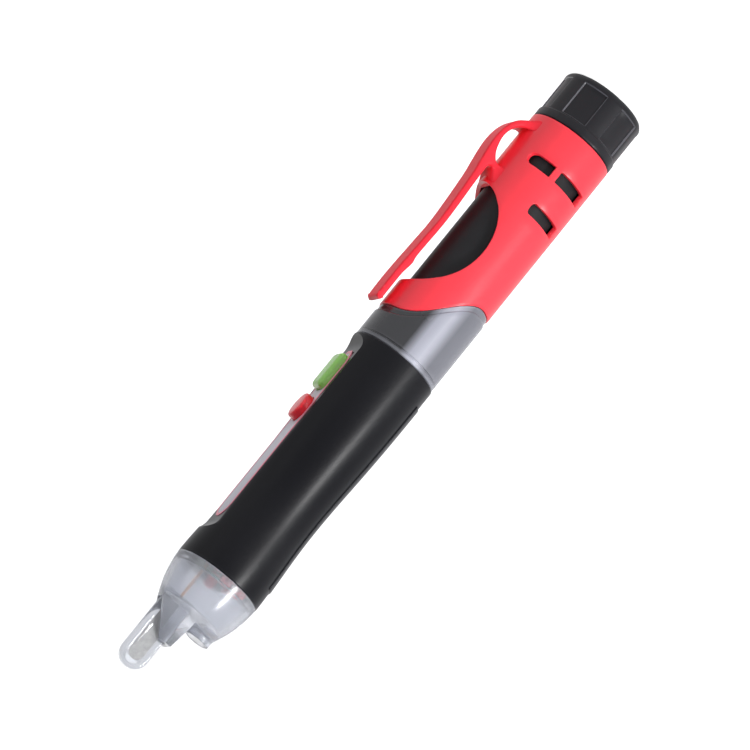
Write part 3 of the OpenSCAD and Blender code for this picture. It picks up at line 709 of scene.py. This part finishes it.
def makeSleeve():
    # The front slots run from slotFront to slotRear and the rear ones from rearFront to rearBack
    sleeve = {"biteR": 15.8, "biteZ": 45.1, "biteDepth": 8.05, "edge": 0.13, "foot": 12.45,
              "slotFront": 46, "slotRear": 83, "highFront": 88, "rearFront": 92, "rearBack": 143,
              "highRound": 0.4, "upperRows": 12}
    r = pen["sleeveR"]
    biteY = -r + sleeve["biteDepth"] - sleeve["biteR"]
    biteEdge = math.degrees(math.acos(-(biteY + sleeve["biteR"]) / r))

    def biteHalf(angle):
        y = -r * math.cos(math.radians(angle))
        return math.sqrt(max(0, sleeve["biteR"] ** 2 - (y - biteY) ** 2))

    # Columns from front to back on one side, crowded towards the bite's deepest point
    columns = [0, 4, 8, 12, 16, 20, 24, 28, 32, 36, 40, sleeve["slotFront"], 57, 60, 62.5, 64.5,
               67.5, 70, 72.2, 74, 75.6, 76.9, 77.8, 78.25, biteEdge, sleeve["slotRear"],
               sleeve["highFront"], sleeve["rearFront"], 97, 101, 106, 111, 116, 121, 126, 131,
               135, 139, sleeve["rearBack"], 148, 154, 160, 167, 173, 180]
    slotRows = [20.8, 21.1, 21.6, 22.2, 22.8, 23.3, 23.6]
    highRows = [29.8, 30.1, 30.6, 31.15, 31.7, 32.2, 32.5]
    baseRows = [sleeve["foot"], 13.2, 14.8, 16.8, 18.8] + slotRows + [25.2, 26.8, 28.2]
    midRows = highRows + [35, 37.5, 40, 42.5]
    split = baseRows[-1]
    fractions = [(z - split) / (sleeve["biteZ"] - split) for z in midRows] + [1]
    upperCount = sleeve["upperRows"]

    def rowHeights(angle):
        half = biteHalf(angle) if angle < biteEdge - 0.01 else 0
        lowEnd, highStart = sleeve["biteZ"] - half, sleeve["biteZ"] + half
        top = sweepHeight(angle)
        lower = baseRows + [split + f * (lowEnd - split) for f in fractions]
        upper = [highStart + (top - highStart) * i / upperCount for i in range(upperCount + 1)]
        return lower, upper

    # Rounds a slot's front end: how far its side moves back, in degrees, at a height
    def slotShift(z, low, high):
        half = (high - low) / 2
        return math.degrees((half - math.sqrt(max(0, half ** 2 - (z - low - half) ** 2))) / r)

    lowN = len(baseRows) + len(fractions)
    first, last = baseRows.index(slotRows[0]), baseRows.index(slotRows[-1])
    firstHigh, lastHigh = len(baseRows), len(baseRows) + len(highRows) - 1
    points, index = [], {}
    sides = [(a, 1) for a in columns] + [(a, -1) for a in reversed(columns[1:-1])]
    for c, (angle, side) in enumerate(sides):
        lower, upper = rowHeights(angle)
        for k, z in enumerate(lower + upper):
            a = angle
            if angle == sleeve["slotFront"] and first <= k <= last:
                a += slotShift(z, slotRows[0], slotRows[-1])
            if angle == sleeve["highFront"] and firstHigh <= k <= lastHigh:
                a += slotShift(z, highRows[0], highRows[-1]) * sleeve["highRound"]
            index[c, k] = len(points)
            points.append(polar(r, a * side, z))
    faces = []
    total = lowN + upperCount + 1
    for c in range(len(sides)):
        d = (c + 1) % len(sides)
        a, b = sorted((sides[c][0], sides[d][0]))
        for k in range(total - 1):
            if k == lowN - 1 and a < biteEdge - 0.01:
                continue
            inFront = sleeve["slotFront"] <= a and b <= sleeve["slotRear"]
            inRear = sleeve["rearFront"] <= a and b <= sleeve["rearBack"]
            if first <= k < last and (inFront or inRear):
                continue
            inHigh = sleeve["highFront"] <= a and b <= sleeve["rearBack"]
            if firstHigh <= k < lastHigh and inHigh:
                continue
            faces.append((index[c, k], index[d, k], index[d, k + 1], index[c, k + 1]))
    piece = newObject("sleeve", points, faces)
    tidyMesh(piece, 40)
    loose = bmesh.new()
    loose.from_mesh(piece.data)
    bmesh.ops.delete(loose, geom=[v for v in loose.verts if not v.link_faces], context="VERTS")
    outward = 0
    for face in loose.faces:
        middle = face.calc_center_median()
        outward += face.normal.dot(Vector((middle.x, middle.y, 0)))
    if outward < 0:
        bmesh.ops.reverse_faces(loose, faces=loose.faces)
    loose.to_mesh(piece.data)
    loose.free()
    wall = piece.modifiers.new("wall", "SOLIDIFY")
    wall.thickness = pen["sleeveWall"] * mm
    wall.offset = -1
    bake(piece)
    bevel(piece, sleeve["edge"], 3, 50)
    smoothByAngle(piece.data, 40)
    place(piece, "housing", "sleeveRed", "red_plastic")
    return piece


def makeClip():
    # Past narrowFrom the arm narrows to its tip, and near the sleeve its loop flares
    clip = {"width": 7.6, "edge": 0.6, "narrowFrom": 63.0, "narrowTo": 65.8, "tipNarrowing": 0.88,
            "voxel": 0.17, "flareFrom": 11.4, "flareTo": 8.4, "flareTop": 33, "flare": 0.42,
            "smoothing": 5}
    outer = splineThrough([(-8.3, 13.7), (-9.3, 14.0), (-10.7, 15.2), (-12.85, 17.1), (-14.0, 19.7),
                           (-14.38, 22.8), (-14.15, 26), (-13.72, 29), (-13.2, 33), (-12.5, 43.5),
                           (-12.62, 50), (-12.88, 57), (-12.92, 61.3), (-12.82, 65.2),
                           (-12.5, 66.0)], 6)
    under = splineThrough([(-11.6, 66.05), (-11.3, 65.5), (-11.32, 63.0), (-11.3, 58.6),
                           (-10.92, 55.6), (-11.18, 53.2), (-10.98, 43.8), (-11.45, 34),
                           (-11.66, 29.6)], 6)
    foot = splineThrough([(-11.6, 28.7), (-11.2, 28.4), (-10.6, 28.9), (-10.0, 30.0), (-9.3, 31.2),
                          (-8.3, 31.9)], 4)
    eye = splineThrough([(-8.9, 16.9), (-10.2, 17.0), (-11.4, 17.7), (-12.5, 19.3), (-12.98, 21.8),
                         (-12.3, 24.8), (-11.1, 26.6), (-10.2, 27.1), (-8.9, 27.2)], 6)
    outline = [tuple(p) for p in outer + under + foot]
    hole = [tuple(p) for p in eye]
    piece = plate("clip", [outline, hole], clip["width"], clip["edge"], sidePlane(0))
    remesh = piece.modifiers.new("remesh", "REMESH")
    remesh.mode = "VOXEL"
    remesh.voxel_size = clip["voxel"] * mm
    bake(piece)
    for point in piece.data.vertices:
        y, z = point.co.yz / mm
        past = (z - clip["narrowFrom"]) / (clip["narrowTo"] - clip["narrowFrom"])
        if past > 0:
            lost = 1 - clip["tipNarrowing"] ** 2
            point.co.x *= math.sqrt(1 - lost * min(past, 1) ** 3)
        near = (clip["flareFrom"] + y) / (clip["flareFrom"] - clip["flareTo"])
        if near > 0 and z < clip["flareTop"]:
            point.co.x *= 1 + clip["flare"] * min(near, 1) ** 2
    soften = piece.modifiers.new("soften", "SMOOTH")
    soften.factor = 0.5
    soften.iterations = clip["smoothing"]
    bake(piece)
    piece.data.shade_smooth()
    place(piece, None, "clipRed", "red_plastic", "clip_arm", "clip_sleeve")
    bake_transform(piece)


def makeCap():
    cap = {"round": 1.35, "panelAngle": 35, "panelLow": 1.8, "panelHigh": 9.8, "recess": 0.4,
           "slope": 0.14, "bore": 9.1, "floor": 2.2, "bandLow": 10.2, "bandR": 10.0, "panels": 6,
           "joint": 0.1, "edge": 0.09, "wallReach": 0.2, "wallLow": 1.5, "wallHigh": 10.1}
    r, top, slope = pen["capR"], pen["capTop"] - cap["joint"], cap["slope"]
    bandR, bandLow, bore, floor = cap["bandR"], cap["bandLow"], cap["bore"], cap["floor"]
    halfPanel = cap["panelAngle"] / 2
    step = math.degrees(slope / r)
    fan = [-halfPanel - step, -halfPanel, -halfPanel + 4, -9, -4.5, 0, 4.5, 9, halfPanel - 4,
           halfPanel, halfPanel + step, 22, 26]
    pitch = 360 / cap["panels"]
    columns = [(pitch * i + a, abs(a) <= halfPanel + 0.01)
               for i in range(cap["panels"]) for a in fan]
    rows = []
    for a in (8, 22, 36, 50, 64, 77):
        inward, rise = 1 - math.sin(math.radians(a)), 1 - math.cos(math.radians(a))
        rows.append((r - cap["round"] * inward, cap["round"] * rise, 0))
    rows += [(r, 1.5, 0), (r, cap["panelLow"] - slope, 0), (r, cap["panelLow"], 1), (r, 3.5, 1),
             (r, 6, 1), (r, 8.5, 1), (r, cap["panelHigh"], 1), (r, cap["panelHigh"] + slope, 0),
             (r, bandLow, 0), (bandR, bandLow + 0.15, 0), (bandR, 11.6, 0), (bandR, top - 0.25, 0),
             (bandR - 0.25, top, 0), (bore + 0.3, top, 0), (bore, top - 0.3, 0), (bore, 6, 0),
             (bore, floor + 0.3, 0), (bore - 0.3, floor, 0)]
    rings = [[polar(radius - cap["recess"] * (deep and inside), 180 + angle, z)
              for angle, inside in columns] for radius, z, deep in rows]
    piece = stations("endCap", rings, closed=False)
    tidyMesh(piece, 30)
    # Painted highlight: the slanted walls of the recesses get a lighter material that stands in for
    # the light they catch
    for face in piece.data.polygons:
        reach = [math.hypot(*piece.data.vertices[i].co.xy) / mm for i in face.vertices]
        height = face.center.z / mm
        slanted = max(reach) - min(reach) > cap["wallReach"]
        face.material_index = int(slanted and cap["wallLow"] < height < cap["wallHigh"])
    piece.data.materials.append(materials["capBlack"])
    piece.data.materials.append(materials["capWallHighlight"])
    bevel(piece, cap["edge"], 2, 35)
    smoothByAngle(piece.data, 40)
    place(piece, "end_cap", "capBlack", "cap_plastic", "end_cap")
    piece.data.materials.append(materials["capWallHighlight"])


# A screw thread swept along a spiral: its sizes are the inputs of the tree
def threadTree():
    tree = bpy.data.node_groups.new("screwThread", "GeometryNodeTree")
    for label, kind in (("Turns", "NodeSocketFloat"), ("Radius", "NodeSocketFloat"),
                        ("Height", "NodeSocketFloat"), ("Ridge", "NodeSocketFloat"),
                        ("Steps", "NodeSocketInt")):
        tree.interface.new_socket(name=label, in_out="INPUT", socket_type=kind)
    tree.interface.new_socket(name="Finish", in_out="INPUT", socket_type="NodeSocketMaterial")
    tree.interface.new_socket(name="Geometry", in_out="OUTPUT", socket_type="NodeSocketGeometry")
    entry = tree.nodes.new("NodeGroupInput")
    leave = tree.nodes.new("NodeGroupOutput")
    spiral = tree.nodes.new("GeometryNodeCurveSpiral")
    tree.links.new(entry.outputs["Steps"], spiral.inputs["Resolution"])
    tree.links.new(entry.outputs["Turns"], spiral.inputs["Rotations"])
    tree.links.new(entry.outputs["Radius"], spiral.inputs["Start Radius"])
    tree.links.new(entry.outputs["Radius"], spiral.inputs["End Radius"])
    tree.links.new(entry.outputs["Height"], spiral.inputs["Height"])
    profile = tree.nodes.new("GeometryNodeCurvePrimitiveCircle")
    profile.inputs["Resolution"].default_value = 6
    tree.links.new(entry.outputs["Ridge"], profile.inputs["Radius"])
    sweep = tree.nodes.new("GeometryNodeCurveToMesh")
    sweep.inputs["Fill Caps"].default_value = True
    tree.links.new(spiral.outputs["Curve"], sweep.inputs["Curve"])
    tree.links.new(profile.outputs["Curve"], sweep.inputs["Profile Curve"])
    real = tree.nodes.new("GeometryNodeRealizeInstances")
    paint = tree.nodes.new("GeometryNodeSetMaterial")
    tree.links.new(sweep.outputs["Mesh"], real.inputs["Geometry"])
    tree.links.new(real.outputs["Geometry"], paint.inputs["Geometry"])
    tree.links.new(entry.outputs["Finish"], paint.inputs["Material"])
    tree.links.new(paint.outputs["Geometry"], leave.inputs["Geometry"])
    return tree


def treeInputs(modifier, values):
    for item in modifier.node_group.interface.items_tree:
        if item.in_out == "INPUT" and item.name in values:
            modifier[item.identifier] = values[item.name]


def makeThread():
    thread = {"turns": 2.5, "radius": 8.46, "low": 6.4, "height": 3.0, "ridge": 0.34, "steps": 64}
    piece = newObject("tubeThread", [(0, 0, 0)], [])
    nodesModifier = piece.modifiers.new("thread", "NODES")
    nodesModifier.node_group = threadTree()
    treeInputs(nodesModifier, {"Turns": thread["turns"], "Radius": thread["radius"] * mm,
                               "Height": thread["height"] * mm, "Ridge": thread["ridge"] * mm,
                               "Steps": thread["steps"], "Finish": materials["tubeBlack"]})
    bake(piece)
    piece.data.transform(Matrix.Translation((0, 0, thread["low"] * mm)))
    tidyMesh(piece, 60)
    place(piece, "housing", "tubeBlack", "black_plastic")


def makeNose():
    nose = {"voxel": 0.2, "smoothing": 5, "merge": 0.002}
    mesh = nodes["nose_cone"].data.copy()
    merge = bmesh.new()
    merge.from_mesh(mesh)
    bmesh.ops.remove_doubles(merge, verts=merge.verts, dist=nose["merge"] * mm)
    merge.to_mesh(mesh)
    merge.free()
    piece = bpy.data.objects.new("noseCone", mesh)
    scene.collection.objects.link(piece)
    remesh = piece.modifiers.new("remesh", "REMESH")
    remesh.mode = "VOXEL"
    remesh.voxel_size = nose["voxel"] * mm
    soften = piece.modifiers.new("soften", "SMOOTH")
    soften.factor = 0.5
    soften.iterations = nose["smoothing"]
    bake(piece)
    piece.data.shade_smooth()
    place(piece, "housing", "noseFrost", "frosted_clear", "nose_cone")


def makeBlade():
    blade = {"centre": -3.8, "width": 6.6, "thickness": 2.6, "low": 141.1, "border": 1.25,
             "recess": 0.22, "joint": 0.05, "rows": 6}

    def bladeRing(inset, x):
        half, centre, rows = blade["width"] / 2 - inset, blade["centre"], blade["rows"]
        low, shoulder = blade["low"], pen["tip"] - blade["joint"] - blade["width"] / 2
        rises = [low + (shoulder - low) * k / rows for k in range(rows)]
        outline = arc(centre, shoulder, half, 0, 180, 20)
        outline += [(centre - half, z) for z in reversed(rises)]
        outline += [(centre + half, z) for z in rises]
        return [Vector((x, u, v)) for u, v in outline]

    half, deep = blade["thickness"] / 2, blade["thickness"] / 2 - blade["recess"]
    side = [(blade["border"] + 0.25, deep), (blade["border"], half - 0.06),
            (blade["border"] - 0.12, half), (0.62, half), (0.25, half - 0.12), (0.06, half - 0.4),
            (0, half - 0.75)]
    levels = [(inset, -x) for inset, x in side] + [(inset, x) for inset, x in reversed(side)]
    rings = [bladeRing(inset, x) for inset, x in levels]
    piece = stations("probeBlade", rings, closed=False)
    tidyMesh(piece, 50)
    place(piece, "housing", "bladeClear", "clear_plastic", "probe_blade")


makeGrip()
makeBackPlate()
makePanel()
makeButtons()
print("grip, panel and buttons are made")
makeLightRing()
makeSleeve()
makeClip()
print("light ring, sleeve and clip are made")
makeCap()
makeThread()
makeNose()
makeBlade()
print("cap, thread, nose and blade are made")

# The CAD pieces that show through the shells, and those under a piece that replaces them
finishes = {
    "end_cap": "capBlack", "cap_contact": "springSteel", "battery_spring": "springSteel",
    "cap_seal": "rubberBlack", "battery_tube": "tubeBlack", "battery_lower": "cellJacket",
    "battery_upper": "cellJacket", "ground_strip": "springSteel", "clip_sleeve": "sleeveRed",
    "clip_arm": "sleeveRed", "light_ring": "ringSmoke", "grip_housing": "gripBlack",
    "back_plate": "gripBlack", "front_panel": "panelGrey", "red_button": "buttonRed",
    "green_button": "buttonGreen", "snap_domes": "springSteel", "main_board": "boardGreen",
    "circuit_carrier": "tubeBlack", "positive_contact": "springSteel", "buzzer": "partBlack",
    "control_chip": "partBlack", "led_board": "boardGreen", "indicator_leds": "ledRed",
    "lamp_led": "lensClear", "lamp_lens": "lensClear", "sensor_plate": "sensorFoil",
    "sensor_lead": "copperLead", "probe_blade": "bladeClear", "nose_cone": "noseFrost",
}
for name, finish in finishes.items():
    slots = nodes[name].material_slots
    if not slots:
        nodes[name].data.materials.append(materials[finish])
    for held in slots:
        held.link = "OBJECT"
        held.material = materials[finish]
print("the inner pieces have their finishes")

scene.view_settings.view_transform = "Standard"
